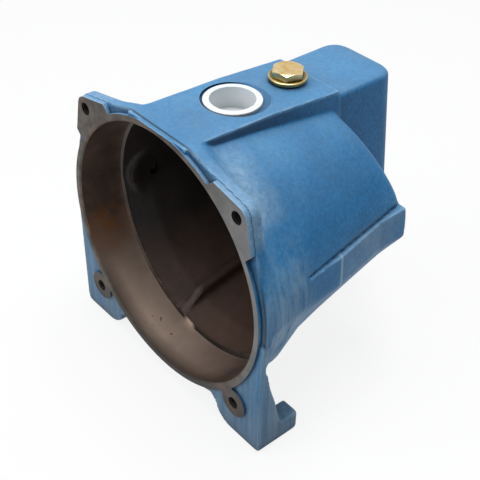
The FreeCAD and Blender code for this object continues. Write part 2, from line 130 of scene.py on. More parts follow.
# Ports
port_y = 52.6
port_major_radius = 16.62
port_minor_radius = port_major_radius - 1.47
port_passage_radius = port_minor_radius - 2.15
port_thread_length = 17.0
port_thread_pitch = 2.309
tool_start = -20.0
spot_face_radius = port_major_radius + 2.8
spot_face_shift = 1.8
spot_face_z = ridge_top_z - 2.3
plug_y = 93.0
plug_bore_radius = 8.4
plug_pad_radius = plug_bore_radius + 2.4
plug_seat_z = ridge_top_z - 2.7
plug_spot_radius = plug_bore_radius + 3.5
suction_z = block_top_z - 41.4
suction_face_y = block_end_y + 0.6
suction_face_radius = port_major_radius + 3.9
port_lead = 0.6
port_lead_depth = 0.9
port_runout = 1.6
suction_depth = 62.0
outlet_depth = 22.0
priming_depth = 34.0
plug_pad_bottom_z = 66.0
drain_bore_radius = 6.0
drain_bore_depth = 24.0
drain_boss_radius = drain_bore_radius + 5.5
drain_boss_height = 5.0
drain_boss_root = 8.0
drain_floor_height = 18.3
drain_z = drain_floor_height - (waist_radius - (end_wall_y - waist_end_y) * waist_slope)

# Feet
foot_outer_x = flange_radius - 0.1
foot_inner_x = foot_outer_x - 38.4
foot_bottom_z = -flange_radius - 5.1
foot_pad_top_z = foot_bottom_z + 13.6
foot_length = 32.3
foot_front_y = 1.6
foot_plate_back_y = 6.0
foot_inner_slant_width = 8.0
foot_inner_slant_height = 6.6
plate_reach = 10.0
plate_slant = (0.5, 0.87)
pad_overlap = 4.0
web_thickness = 9.0
web_top_z = -10.0
web_neck_z = -33.0
web_zs = (foot_pad_top_z - 1.0, foot_pad_top_z + 21.0, web_neck_z, web_top_z)
web_back_ys = (18.7, 13.5, 6.0, 4.0)
slot_centre_x = foot_outer_x - 18.4
slot_width = 11.0
slot_start_y = 12.0

# Details inside the chamber
side_pad_y = 50.0
side_pad_radius = 17.0
side_pad_height = 1.6
side_pad_bore_radius = 3.6
side_pad_bore_depth = 4.0
floor_rib_x = -19.5
floor_rib_width = 5.0
floor_rib_height = 6.0
floor_rib_start_y = 44.0
floor_rib_run = 2.2

# Widths of the soft rounds and joins of the casting
end_wall_blend = 4.0
belly_side_blend = 2.0
belly_end_blend = 1.0
belly_join = 1.2
gutter_floor_blend = 0.5
gutter_edge_blend = 0.8
ridge_edge_blend = 1.5
ridge_end_blend = 0.6
ridge_join = 1.5
block_edge_blend = 3.6
block_front_blend = 1.0
block_corner_blend = block_corner_radius * 1.17
block_join = 3.0
flange_edge_blend = 2.6
ear_edge_blend = 3.2
ear_join = 2.4
flange_join_zs = (-10.0, 25.0)
flange_joins = (2.0, 5.5)
web_edge_blend = 1.6
pad_edge_blend = 3.2
pad_top_blend = 1.8
slot_edge_blend = 1.4
foot_join = 4.0
boss_edge_blend = 1.0
plug_pad_join = 1.2
drain_join = 3.0
crisp_blend = 0.4
small_blend = 0.8
hidden_blend = 1.0
cavity_end_blend = 9.0
inner_rib_blend = 2.0
inner_pad_blend = 1.5
inner_join = 2.4
buried = 2.0
far_inside = -10.0

# Shares that turn the offset from a leaning face into a distance
gutter_face_share = 0.8
web_back_share = 0.95

# Marks on the machined bore, and the place of a painted glint on its step
rust_place = (-74.0, 13.0, -30.0)
pit_place = (-19.0, 9.0, -77.5)
glint_place = (-12.3, 29.7, -77.7)

# Camera, fitted to the photograph, and lamps with their place and size in metres and their power
camera_place = (0.3453, -0.2435, 0.3457)
camera_back = (0.589, -0.518, 0.621)
camera_right = (0.65, 0.76, 0.018)
camera_lens = 72.39
lamp_target = (0.0, 0.07, 0.0)
key_lamp = ((0.0, 0.12, 1.1), 0.6, 9.5)
front_lamp = ((-0.3, -0.9, 0.85), 0.8, 5.0)

# Floor and sky
floor_half_size = 4.0
floor_gap = 0.4
floor_seen = 0.9
floor_lit = 0.5
floor_whiteness = 0.86
sky_direction = (-0.5, 0.15, 0.75)
sky_dark = 0.08
sky_bright = 0.42
mirrored_sky = 0.85

# Mesh fineness
skin_step = 1.25
cavity_step = 1.8
turned_sides = 160
thread_sides = 48


# Distance fields: negative inside, in millimetres

def join(a, b, blend):
    # union with a soft fillet
    h = np.clip(0.5 + 0.5 * (b - a) / blend, 0, 1)
    return b + (a - b) * h - blend * h * (1 - h)


def meet(a, b, blend):
    # intersection with a soft round edge
    return -join(-a, -b, blend)


def meet_all(blend, *parts):
    result = parts[0]
    for part in parts[1:]:
        result = meet(result, part, blend)
    return result


def side_at(y):
    return side_radius - (y - barrel_start_y) * side_slope


def crown_at(y):
    return crown_radius - (y - barrel_start_y) * crown_slope


def low_at(y):
    # the underside runs from the flange through a full waist into the long taper
    taper = waist_radius - (y - waist_end_y) * waist_slope
    full_end_y = waist_end_y + (waist_end_y - waist_start_y)
    ys = (waist_start_y, waist_end_y, full_end_y)
    radii = (waist_start_radius, waist_radius + waist_fullness,
             waist_radius - (full_end_y - waist_end_y) * waist_slope)
    return np.where(y < full_end_y, np.interp(y, ys, radii), taper)


def barrel_field(ax, y, z, inside=False):
    # half an ellipse above, below it a circle with straight flanks that touch it
    side = side_at(y)
    crown = crown_at(y)
    low = low_at(y)
    if inside:
        side = side - (side_at(register_depth) - inner_radius)
        crown = crown - (crown_at(register_depth) - inner_radius)
        low = np.minimum(low - wall, inner_radius - chamber_low_inset)
    else:
        # the crown dips a little just behind the flange
        dip = np.clip((waist_end_y - y) / (waist_end_y - waist_start_y), 0, 1)
        crown = crown - front_crown_drop * dip
    k0 = np.hypot(ax / side, z / crown)
    k1 = np.hypot(ax / side ** 2, z / crown ** 2)
    upper = k0 * (k0 - 1) / np.maximum(k1, 1e-6)
    touch = np.arccos(np.clip(low / side, -1, 1))
    on_flank = np.arctan2(-z, ax) < touch
    lower = np.where(on_flank, ax * np.cos(touch) - z * np.sin(touch), np.hypot(ax, z)) - low
    return np.where(z >= 0, upper, lower)


def end_wall_field(y, z, offset=0.0):
    lean = end_lean / end_lean_rise
    upright = y - (end_wall_y - offset)
    leaning = (upright + (z - end_lean_start_z) * lean) / math.hypot(1, lean)
    return meet(upright, leaning, end_wall_blend)


def belly_field(ax, y, z):
    top_x = side_at(y) + np.interp(y, belly_ys, belly_outs)
    waist = np.interp(y, (belly_ys[0], waist_end_y), (mouth_radius, waist_radius))
    low = np.where(y < waist_end_y, waist, waist_radius - (y - waist_end_y) * waist_slope)
    low = low - belly_bite
    fall = belly_top_z - belly_bottom_z
    flare = belly_side_flare / fall
    flank = (ax - top_x - (belly_top_z - z) * flare) / math.hypot(1, flare)
    knee_x = top_x + belly_side_flare - belly_bottom_bevel
    touch = np.arctan2(belly_bottom_z, knee_x) - np.arccos(low / np.hypot(knee_x, belly_bottom_z))
    under = ax * np.cos(touch) + z * np.sin(touch) - low
    above_touch = low * np.sin(touch) - z
    sides = meet_all(belly_side_blend, flank, z - belly_top_z, under)
    return meet_all(belly_end_blend, sides, above_touch, end_wall_field(y, z), belly_ys[0] - y)


def gutter_field(ax, y, z):
    # shallow gutter where the shoulder meets the top of the belly
    share = np.clip((y - gutter_start_y) / (end_wall_y - gutter_start_y), 0, 1)
    floor_x = side_at(y) + gutter_start_out + (gutter_end_out - gutter_start_out) * share
    size = gutter_start_share + (1 - gutter_start_share) * share
    lean = (z - belly_top_z) / gutter_width * gutter_lean * gutter_depth
    inner = floor_x - gutter_depth * size + np.clip(lean, 0, gutter_depth) - ax
    below = belly_top_z - gutter_drop * size - z
    above = z - belly_top_z - gutter_width * size
    return meet_all(gutter_floor_blend, inner * gutter_face_share, below, above, gutter_start_y - y)


def ridge_field(ax, y, z):
    ys = (ridge_level_end_y, ridge_knee_y, crease_y)
    top = z - np.interp(y, ys, (ridge_top_z, ridge_knee_z, ridge_low_z))
    side = (ax - ridge_half_width) * math.cos(ridge_draft) + (z - ridge_top_z) * math.sin(ridge_draft)
    bar = meet(side, top, ridge_edge_blend)
    return meet_all(ridge_end_blend, bar, ridge_front_y - y, y - crease_y, -z)


def block_field(ax, y, z):
    cos_draft, sin_draft = math.cos(block_draft), math.sin(block_draft)
    side = (ax - block_half_width) * cos_draft + (z - block_top_z) * sin_draft
    end = (y - block_end_y) * cos_draft + (z - block_top_z) * sin_draft
    outline = meet(side, end, block_corner_blend)
    outline = meet(outline, crease_y - 1 - y, block_front_blend)
    return meet_all(block_edge_blend, outline, z - block_top_z, block_bottom_z - z)


def ring_field(radius, y):
    back = (radius - flange_radius + y - (flange_back_y - flange_back_bevel)) / math.sqrt(2)
    ring = meet(radius - flange_radius, rim_height - y, flange_edge_blend)
    return meet_all(flange_edge_blend, ring, back, y - flange_back_y)


def ears_field(ax, y, z):
    # ring and bolt hole circles joined by their common tangent lines
    along = (ax + np.abs(z)) / math.sqrt(2)
    across = np.abs(ax - np.abs(z)) / math.sqrt(2)
    lean = (ear_ring_radius - ear_radius) / bolt_reach
    upright = math.sqrt(1 - lean ** 2)
    along_line = -lean * across + upright * along
    on_ring = np.hypot(across, along) - ear_ring_radius
    on_hole = np.hypot(across, along - bolt_reach) - ear_radius
    on_line = across * upright + along * lean - ear_ring_radius
    beyond_ring = np.where(along_line > upright * bolt_reach, on_hole, on_line)
    outline = np.where(along_line < 0, on_ring, beyond_ring)
    lobes = meet(outline, y - ear_back_y, ear_edge_blend)
    return meet(lobes, rim_height - y, small_blend)


def foot_field(ax, y, z):
    # an upright web outside, a front plate with a slanting corner, and the slotted pad
    web = meet_all(
        web_edge_blend,
        ax - foot_outer_x,
        foot_outer_x - web_thickness - ax,
        (y - np.interp(z, web_zs, web_back_ys)) * web_back_share,
        foot_front_y - y,
        z - web_top_z,
        foot_pad_top_z - pad_overlap - z,
    )
    front_plate = meet_all(
        web_edge_blend,
        ax - foot_outer_x,
        foot_front_y - y,
        y - foot_plate_back_y,
        z - web_neck_z,
        foot_pad_top_z - pad_overlap - z,
        (foot_inner_x - ax) * plate_slant[0] + (foot_pad_top_z - z) * plate_slant[1],
        foot_inner_x - plate_reach - ax,
    )
    rise, run = foot_inner_slant_height, foot_inner_slant_width
    inner_slant = ((foot_inner_x - ax) * rise + (foot_bottom_z + rise - z) * run) / math.hypot(rise, run)
    pad = meet_all(
        pad_edge_blend,
        ax - foot_outer_x,
        foot_inner_x - ax,
        inner_slant,
        y - foot_length,
        foot_bottom_z - z,
    )
    pad = meet_all(pad_top_blend, pad, z - foot_pad_top_z, foot_front_y - y)
    slot_radius = slot_width / 2
    slot_arc = np.hypot(ax - slot_centre_x, np.minimum(y - slot_start_y - slot_radius, 0)) - slot_radius
    pad = meet(pad, -slot_arc, slot_edge_blend)
    whole = join(join(web, front_plate, foot_join), pad, foot_join)
    return meet_all(crisp_blend, whole, ax - foot_outer_x, foot_front_y - y)


def boss_fields(ax, y, z):
    plug_pad = meet(np.hypot(ax, y - plug_y) - plug_pad_radius, z - plug_seat_z, small_blend)
    plug_pad = meet(plug_pad, plug_pad_bottom_z - z, boss_edge_blend)
    drain_back_y = end_wall_y + drain_boss_height
    drain = meet(np.hypot(ax, z - drain_z) - drain_boss_radius, y - drain_back_y, boss_edge_blend)
    return plug_pad, meet(drain, end_wall_y - drain_boss_root - y, boss_edge_blend)


def cast_field(x, y, z):
    # the whole casting from outside, before machining and without its hollow
    ax = np.abs(x)
    radius = np.hypot(ax, z)
    trunk = meet(barrel_field(ax, y, z), end_wall_field(y, z), end_wall_blend)
    trunk = meet(trunk, barrel_start_y - buried - y, hidden_blend)
    trunk = join(trunk, belly_field(ax, y, z), belly_join)
    trunk = meet(trunk, -gutter_field(ax, y, z), gutter_edge_blend)
    front = join(ring_field(radius, y), ears_field(ax, y, z), ear_join)
    body = join(trunk, front, np.interp(z, flange_join_zs, flange_joins))
    body = join(body, foot_field(ax, y, z), foot_join)
    level = np.where(y < crease_y, z - ridge_top_z, far_inside)
    body = meet(body, level, small_blend)
    body = join(body, block_field(ax, y, z), block_join)
    body = join(body, ridge_field(ax, y, z), ridge_join)
    plug_pad, drain = boss_fields(ax, y, z)
    body = join(body, plug_pad, plug_pad_join)
    body = join(body, drain, drain_join)
    front_y = np.where(z > 0, ridge_front_y, foot_front_y)
    return meet_all(crisp_blend, body, front_y - y, ax - side_radius)


def side_pad_x():
    # face of the round pad on the left wall of the chamber
    return -(inner_radius - (side_pad_y - register_depth) * side_slope) + side_pad_height


def cavity_field(x, y, z):
    # the cast chamber behind the machined register
    barrel = barrel_field(np.abs(x), y, z, inside=True)
    hollow = meet(barrel, end_wall_field(y, z, end_wall_thickness), cavity_end_blend)
    hollow = meet(hollow, register_depth - buried - y, hidden_blend)
    pad = meet(np.hypot(y - side_pad_y, z) - side_pad_radius, x - side_pad_x(), inner_pad_blend)
    rib = meet_all(
        inner_rib_blend,
        np.abs(x - floor_rib_x) - floor_rib_width / 2,
        -floor_rib_height - barrel,
        floor_rib_start_y - (barrel + floor_rib_height) * floor_rib_run - y,
        z,
    )
    hollow = meet(hollow, -pad, inner_join)
    return meet(hollow, -rib, inner_join)


# Meshes from distance fields

def settled(field, points):
    # moves points onto the zero surface of a field along its gradient
    probe = 0.05
    least_slope = 0.2
    longest_move = 0.6
    for _ in range(3):
        x, y, z = points.T
        value = field(x, y, z)
        gradient = np.stack([
            field(x + probe, y, z) - field(x - probe, y, z),
            field(x, y + probe, z) - field(x, y - probe, z),
            field(x, y, z + probe) - field(x, y, z - probe),
        ], axis=1) / (2 * probe)
        slope = np.maximum((gradient ** 2).sum(axis=1), least_slope)
        move = gradient * (value / slope)[:, None]
        length = np.linalg.norm(move, axis=1)
        points = points - move * np.minimum(1, longest_move / np.maximum(length, 1e-9))[:, None]
    return points


def mesh_from_field(name, field, low, high, step):
    counts = [int(math.ceil((b - a) / step)) + 1 for a, b in zip(low, high)]
    axes = [a + np.arange(n) * step for a, n in zip(low, counts)]
    values = np.empty(counts, dtype=np.float32)
    for index, x in enumerate(axes[0]):
        y, z = np.meshgrid(axes[1], axes[2], indexing="ij")
        values[index] = field(np.full_like(y, x), y, z)
    band = 3 * step
    grid = openvdb.FloatGrid(band)
    grid.copyFromArray(np.clip(values, -band, band))
    points, quads = grid.convertToQuads(0.0)
    points = settled(field, points.astype(float) * step + np.array(low))
    mesh = bpy.data.meshes.new(name)
    mesh.from_pydata(points * MM, [], quads[:, ::-1].tolist())
    return added(name, mesh)


# Plain meshes for machined shapes

def added(name, mesh):
    mesh.validate()
    mesh.update()
    obj = bpy.data.objects.new(name, mesh)
    bpy.context.scene.collection.objects.link(obj)
    outward(obj)
    return obj


def outward(obj):
    shape = bmesh.new()
    shape.from_mesh(obj.data)
    bmesh.ops.recalc_face_normals(shape, faces=shape.faces)
    if shape.calc_volume(signed=True) < 0:
        bmesh.ops.reverse_faces(shape, faces=shape.faces)
    shape.to_mesh(obj.data)
    shape.free()


def turned(name, profile, centre, axis, sides=turned_sides):
    # profile of (radius, height) pairs turned about an axis, closed at both ends
    turn = Vector((0, 0, 1)).rotation_difference(Vector(axis)).to_matrix().to_4x4()
    place = Matrix.Translation(Vector(centre)) @ turn
    vertices = []
    for radius, height in profile:
        for index in range(sides):
            angle = 2 * math.pi * index / sides
            vertices.append(place @ Vector((radius * math.cos(angle), radius * math.sin(angle), height)) * MM)
    faces = []
    for row in range(len(profile) - 1):
        for index in range(sides):
            after = (index + 1) % sides
            faces.append((row * sides + index, row * sides + after,
                          (row + 1) * sides + after, (row + 1) * sides + index))
    faces.append(tuple(range(sides)))
    faces.append(tuple(range((len(profile) - 1) * sides, len(profile) * sides)))
    mesh = bpy.data.meshes.new(name)
    mesh.from_pydata(vertices, [], faces)
    return added(name, mesh)


def plate(name, outline, start_y, end_y):
    # outline of (x, z) pairs extruded along Y
    count = len(outline)
    vertices = [Vector((x, y, z)) * MM for y in (start_y, end_y) for x, z in outline]
    faces = [tuple(range(count)), tuple(range(count, 2 * count))]
    for index in range(count):
        after = (index + 1) % count
        faces.append((index, after, count + after, count + index))
    mesh = bpy.data.meshes.new(name)
    mesh.from_pydata(vertices, [], faces)
    return added(name, mesh)


def combined(target, tool, operation):
    modifier = target.modifiers.new("combine", "BOOLEAN")
    modifier.operation = operation
    modifier.solver = "MANIFOLD"
    modifier.object = tool
    evaluated = target.evaluated_get(bpy.context.evaluated_depsgraph_get())
    mesh = bpy.data.meshes.new_from_object(evaluated)
    target.modifiers.clear()
    target.data = mesh
    bpy.data.objects.remove(tool)
    return target


def circle(radius, centre_x=0.0, centre_z=0.0, sides=64):
    angles = [2 * math.pi * index / sides for index in range(sides)]
    return [(centre_x + radius * math.cos(a), centre_z + radius * math.sin(a)) for a in angles]


def ear_outline(centre, ring, lobe):
    # tangent lines from the flange circle round one bolt hole, closed through the middle
    turn = math.acos((ring - lobe) / bolt_reach)
    hole_x, hole_z = bolt_reach * math.cos(centre), bolt_reach * math.sin(centre)
    outline = [(ring * math.cos(centre - turn), ring * math.sin(centre - turn))]
    steps = 16
    for index in range(steps + 1):
        angle = centre - turn + 2 * turn * index / steps
        outline.append((hole_x + lobe * math.cos(angle), hole_z + lobe * math.sin(angle)))
    outline.append((ring * math.cos(centre + turn), ring * math.sin(centre + turn)))
    outline.append((0.0, 0.0))
    return outline


def ear_land(centre):
    # flat machined face of an upper ear, with slanting ends
    land = plate("land", ear_outline(centre, ear_ring_radius - land_inset, ear_radius - land_inset),
                 0, land_back_y)
    corners = []
    for radius, half_angle in (
        (mouth_radius, -land_inner_half_angle),
        (land_window_radius, -land_outer_half_angle),
        (land_window_radius, land_outer_half_angle),
        (mouth_radius, land_inner_half_angle),
    ):
        angle = centre + half_angle
        corners.append((radius * math.cos(angle), radius * math.sin(angle)))
    window = plate("window", corners, -5, land_back_y + 5)
    return combined(land, window, "INTERSECT")


def lower_land(side):
    # round machined face about a lower bolt hole, bridged to the rim
    hole = (side * bolt_offset, -bolt_offset)
    land = plate("land", circle(lower_land_radius, *hole), 0, land_back_y)
    inward = (-side / math.sqrt(2), 1 / math.sqrt(2))
    across = (inward[1] * lower_land_bridge / 2, -inward[0] * lower_land_bridge / 2)
    reach = bolt_reach - mouth_radius - 1
    tip = (hole[0] + inward[0] * reach, hole[1] + inward[1] * reach)
    outline = [
        (hole[0] - across[0], hole[1] - across[1]),
        (hole[0] + across[0], hole[1] + across[1]),
        (tip[0] + across[0], tip[1] + across[1]),
        (tip[0] - across[0], tip[1] - across[1]),
    ]
    return combined(land, plate("bridge", outline, 0, land_back_y), "UNION")


def rim_outline():
    # the bare rim is cut off level with the ridge
    points = circle(rim_outer_radius, sides=turned_sides * 2)
    return [(x, min(z, ridge_top_z)) for x, z in points]


def machined_faces(body):
    body = combined(body, plate("rim", rim_outline(), 0, land_back_y), "UNION")
    for centre in (math.radians(45), math.radians(135)):
        body = combined(body, ear_land(centre), "UNION")
    for side in (-1, 1):
        body = combined(body, lower_land(side), "UNION")
    return body


def hollowed(body):
    lead = mouth_lead_in
    register = turned("register", [
        (mouth_radius + lead + 1, -1),
        (mouth_radius + lead, 0),
        (mouth_radius, lead),
        (mouth_radius, register_depth),
    ], (0, 0, 0), (0, 1, 0), sides=2 * turned_sides)
    body = combined(body, register, "DIFFERENCE")
    reach = inner_radius + 3
    cavity = mesh_from_field("cavity", cavity_field, (-reach, register_depth - 6, -reach),
                             (reach, end_wall_y, reach), cavity_step)
    body = combined(body, cavity, "DIFFERENCE")
    blind = turned("blind", [
        (side_pad_bore_radius, -2),
        (side_pad_bore_radius, side_pad_bore_depth),
        (0.3, side_pad_bore_depth + 1.5),
    ], (side_pad_x(), side_pad_y, 0), (-1, 0, 0), sides=40)
    return combined(body, blind, "DIFFERENCE")


def vertical_tools():
    # outlet bore with its recess, and the seat and bore of the priming plug, cut from above
    outlet = turned("outlet", [
        (port_minor_radius + 0.1, tool_start),
        (port_minor_radius + 0.1, port_thread_length),
        (port_passage_radius, port_thread_length),
        (port_passage_radius, outlet_depth),
    ], (0, port_y, spot_face_z), (0, 0, -1))
    recess = turned("recess", [
        (spot_face_radius, tool_start),
        (spot_face_radius, 0),
    ], (0, port_y + spot_face_shift, spot_face_z), (0, 0, -1))
    priming = turned("priming", [
        (plug_spot_radius, tool_start),
        (plug_spot_radius, 0),
        (plug_bore_radius, 0),
        (plug_bore_radius, priming_depth),
    ], (0, plug_y, plug_seat_z), (0, 0, -1), sides=96)
    return outlet, recess, priming


def rear_tools():
    # suction port at thread root, its machined face, and the drain bore, cut from behind
    inlet = turned("inlet", [
        (port_major_radius + port_lead, tool_start),
        (port_major_radius + port_lead, 0),
        (port_major_radius, port_lead_depth),
        (port_major_radius, port_thread_length),
        (port_passage_radius, port_thread_length + port_runout),
        (port_passage_radius, suction_depth),
    ], (0, suction_face_y, suction_z), (0, -1, 0))
    inlet_face = turned("inlet_face", [
        (suction_face_radius, tool_start),
        (suction_face_radius, 0),
    ], (0, suction_face_y, suction_z), (0, -1, 0))
    drain = turned("drain", [
        (drain_bore_radius, tool_start),
        (drain_bore_radius, drain_bore_depth),
    ], (0, end_wall_y + drain_boss_height, drain_z), (0, -1, 0), sides=96)
    return inlet, inlet_face, drain


def bolt_hole(x, z):
    root_radius = bolt_bore_radius + bolt_thread_depth
    return turned("hole", [
        (bolt_bore_radius + bolt_lead, -0.4),
        (root_radius, 0),
        (root_radius, ear_back_y + buried),
    ], (x, 0, z), (0, 1, 0), sides=40)


def bolt_places():
    return [(x, z) for x in (-bolt_offset, bolt_offset) for z in (-bolt_offset, bolt_offset)]


def drilled(body):
    for tool in (*vertical_tools(), *rear_tools()):
        body = combined(body, tool, "DIFFERENCE")
    for x, z in bolt_places():
        body = combined(body, bolt_hole(x, z), "DIFFERENCE")
    return body


def casing():
    low = (-90.0, -1.0, -94.0)
    high = (90.0, 164.0, 87.0)
    body = mesh_from_field("casing_shape", cast_field, low, high, skin_step)
    return drilled(hollowed(machined_faces(body)))


# Threads, made by a node tree that sets one helical ridge on every point of a mesh

def thread_tree(material):
    tree = bpy.data.node_groups.new("thread", "GeometryNodeTree")
    face = tree.interface
    face.new_socket("Geometry", in_out="INPUT", socket_type="NodeSocketGeometry")
    for name in ("Radius", "Pitch", "Length", "Ridge"):
        face.new_socket(name, in_out="INPUT", socket_type="NodeSocketFloat")
    face.new_socket("Geometry", in_out="OUTPUT", socket_type="NodeSocketGeometry")
    add, link = tree.nodes.new, tree.links.new
    given = add("NodeGroupInput").outputs
    turns = add("ShaderNodeMath")
    turns.operation = "DIVIDE"
    link(given["Length"], turns.inputs[0])
    link(given["Pitch"], turns.inputs[1])
    helix = add("GeometryNodeCurveSpiral")
    helix.inputs["Resolution"].default_value = thread_sides
    link(turns.outputs[0], helix.inputs["Rotations"])
    link(given["Radius"], helix.inputs["Start Radius"])
    link(given["Radius"], helix.inputs["End Radius"])
    link(given["Length"], helix.inputs["Height"])
    upright = add("GeometryNodeSetCurveNormal")
    upright.mode = "Z_UP"
    link(helix.outputs["Curve"], upright.inputs["Curve"])
    section = add("GeometryNodeCurvePrimitiveCircle")
    section.inputs["Resolution"].default_value = 3
    link(given["Ridge"], section.inputs["Radius"])
    sweep = add("GeometryNodeCurveToMesh")
    sweep.inputs["Fill Caps"].default_value = True
    link(upright.outputs["Curve"], sweep.inputs["Curve"])
    link(section.outputs["Curve"], sweep.inputs["Profile Curve"])
    along_y = add("GeometryNodeTransform")
    along_y.inputs["Rotation"].default_value = (-math.pi / 2, 0, 0)
    link(sweep.outputs["Mesh"], along_y.inputs["Geometry"])
    spread = add("GeometryNodeInstanceOnPoints")
    link(given["Geometry"], spread.inputs["Points"])
    link(along_y.outputs["Geometry"], spread.inputs["Instance"])
    plain = add("GeometryNodeRealizeInstances")
    link(spread.outputs["Instances"], plain.inputs["Geometry"])
    finish = add("GeometryNodeSetMaterial")
    finish.inputs["Material"].default_value = material
    link(plain.outputs["Geometry"], finish.inputs["Geometry"])
    link(finish.outputs["Geometry"], add("NodeGroupOutput").inputs["Geometry"])
    return tree


def threads(name, places, radius, pitch, length, ridge, material):
    mesh = bpy.data.meshes.new(name)
    mesh.from_pydata([Vector(place) * MM for place in places], [], [])
    obj = bpy.data.objects.new(name, mesh)
    bpy.context.scene.collection.objects.link(obj)
    modifier = obj.modifiers.new("thread", "NODES")
    modifier.node_group = thread_tree(material)
    values = {"Radius": radius, "Pitch": pitch, "Length": length, "Ridge": ridge}
    for item in modifier.node_group.interface.items_tree:
        if item.name in values:
            modifier[item.identifier] = values[item.name] * MM
    evaluated = obj.evaluated_get(bpy.context.evaluated_depsgraph_get())
    obj.data = bpy.data.meshes.new_from_object(evaluated)
    obj.modifiers.clear()
    outward(obj)
    return obj


def all_threads(bolt_material, port_material):
    holes = [(x, bolt_thread_start_y, z) for x, z in bolt_places()]
    bolts = threads("bolt_threads", holes, bolt_bore_radius + bolt_thread_depth, bolt_thread_pitch,
                    bolt_bore_depth - 2, bolt_thread_depth, bolt_material)
    depth = port_major_radius - port_minor_radius
    port = threads("suction_thread", [(0, suction_face_y - port_thread_length, suction_z)],
                   port_major_radius, port_thread_pitch, port_thread_length - 1.5, depth, port_material)
    return bolts, port


# Materials

def new_material(name, metallic, roughness, preview):
    material = bpy.data.materials.new(name)
    material.use_nodes = True
    material.diffuse_color = (*preview, 1.0)
    shader = material.node_tree.nodes["Principled BSDF"]
    shader.inputs["Base Color"].default_value = (*preview, 1.0)
    shader.inputs["Metallic"].default_value = metallic
    shader.inputs["Roughness"].default_value = roughness
    return material, material.node_tree, shader


def linear(hex_colour):
    channels = [int(hex_colour[index:index + 2], 16) / 255 for index in (0, 2, 4)]
    return tuple(c / 12.92 if c <= 0.04045 else ((c + 0.055) / 1.055) ** 2.4 for c in channels)


def noise(tree, scale, detail, roughness=0.5):
    coordinates = tree.nodes.new("ShaderNodeTexCoord")
    texture = tree.nodes.new("ShaderNodeTexNoise")
    texture.inputs["Scale"].default_value = scale
    texture.inputs["Detail"].default_value = detail
    texture.inputs["Roughness"].default_value = roughness
    tree.links.new(coordinates.outputs["Object"], texture.inputs["Vector"])
    return texture.outputs["Fac"]


def ramp(tree, source, stops):
    node = tree.nodes.new("ShaderNodeValToRGB")
    elements = node.color_ramp.elements
    while len(elements) < len(stops):
        elements.new(0.5)
    for element, (stop, colour) in zip(elements, stops):
        element.position = stop
        element.color = (*colour, 1.0)
    tree.links.new(source, node.inputs["Fac"])
    return node.outputs["Color"]


def bump(tree, shader, source, strength, distance):
    node = tree.nodes.new("ShaderNodeBump")
    node.inputs["Strength"].default_value = strength
    node.inputs["Distance"].default_value = distance
    tree.links.new(source, node.inputs["Height"])
    tree.links.new(node.outputs["Normal"], shader.inputs["Normal"])


def feed(tree, socket, value):
    # links another node's output, or sets a colour or a number
    if isinstance(value, bpy.types.NodeSocket):
        tree.links.new(value, socket)
    elif isinstance(value, tuple):
        socket.default_value = (*value, 1.0)
    else:
        socket.default_value = value


def mixed(tree, first, second, factor, blend="MIX"):
    node = tree.nodes.new("ShaderNodeMix")
    node.data_type = "RGBA"
    node.blend_type = blend
    feed(tree, node.inputs[0], factor)
    feed(tree, node.inputs[6], first)
    feed(tree, node.inputs[7], second)
    return node.outputs[2]


def crevice_shade(tree, distance):
    # painted shade: dark in corners, white on open faces
    node = tree.nodes.new("ShaderNodeAmbientOcclusion")
    node.samples = 8
    node.inputs["Distance"].default_value = distance
    return node.outputs["AO"]


def position(tree, axis):
    coordinates = tree.nodes.new("ShaderNodeTexCoord")
    split = tree.nodes.new("ShaderNodeSeparateXYZ")
    tree.links.new(coordinates.outputs["Object"], split.inputs[0])
    return split.outputs[axis]


def remapped(tree, source, low, high):
    node = tree.nodes.new("ShaderNodeMapRange")
    node.inputs["From Min"].default_value = low
    node.inputs["From Max"].default_value = high
    tree.links.new(source, node.inputs["Value"])
    return node.outputs["Result"]


def product(tree, first, *others):
    result = first
    for other in others:
        node = tree.nodes.new("ShaderNodeMath")
        node.operation = "MULTIPLY"
        feed(tree, node.inputs[0], result)
        feed(tree, node.inputs[1], other)
        result = node.outputs[0]
    return result


def facing(tree, axis):
    geometry = tree.nodes.new("ShaderNodeNewGeometry")
    split = tree.nodes.new("ShaderNodeSeparateXYZ")
    tree.links.new(geometry.outputs["Normal"], split.inputs[0])
    return split.outputs[axis]


def from_axis(tree, centre, across):
    # distance from an axis through the centre, measured along the directions in across
    coordinates = tree.nodes.new("ShaderNodeTexCoord")
    moved = tree.nodes.new("ShaderNodeVectorMath")
    moved.operation = "SUBTRACT"
    moved.inputs[1].default_value = [value * MM for value in centre]
    tree.links.new(coordinates.outputs["Object"], moved.inputs[0])
    flat = tree.nodes.new("ShaderNodeVectorMath")
    flat.operation = "MULTIPLY"
    flat.inputs[1].default_value = across
    tree.links.new(moved.outputs["Vector"], flat.inputs[0])
    length = tree.nodes.new("ShaderNodeVectorMath")
    length.operation = "LENGTH"
    tree.links.new(flat.outputs["Vector"], length.inputs[0])
    return length.outputs["Value"]


def fade(tree, axis, zero_at, one_at):
    # zero at one height along an axis and one at the other, in millimetres
    return remapped(tree, position(tree, axis), zero_at * MM, one_at * MM)


def band(tree, axis, low, high, soft):
    # one between two heights along an axis, zero outside, in millimetres
    return product(tree, fade(tree, axis, low - soft, low), fade(tree, axis, high + soft, high))


def near(tree, centre, zero_at, one_at, across=(1, 1, 1)):
    # one close to a place or to an axis through it, zero farther away, in millimetres
    return remapped(tree, from_axis(tree, centre, across), zero_at * MM, one_at * MM)


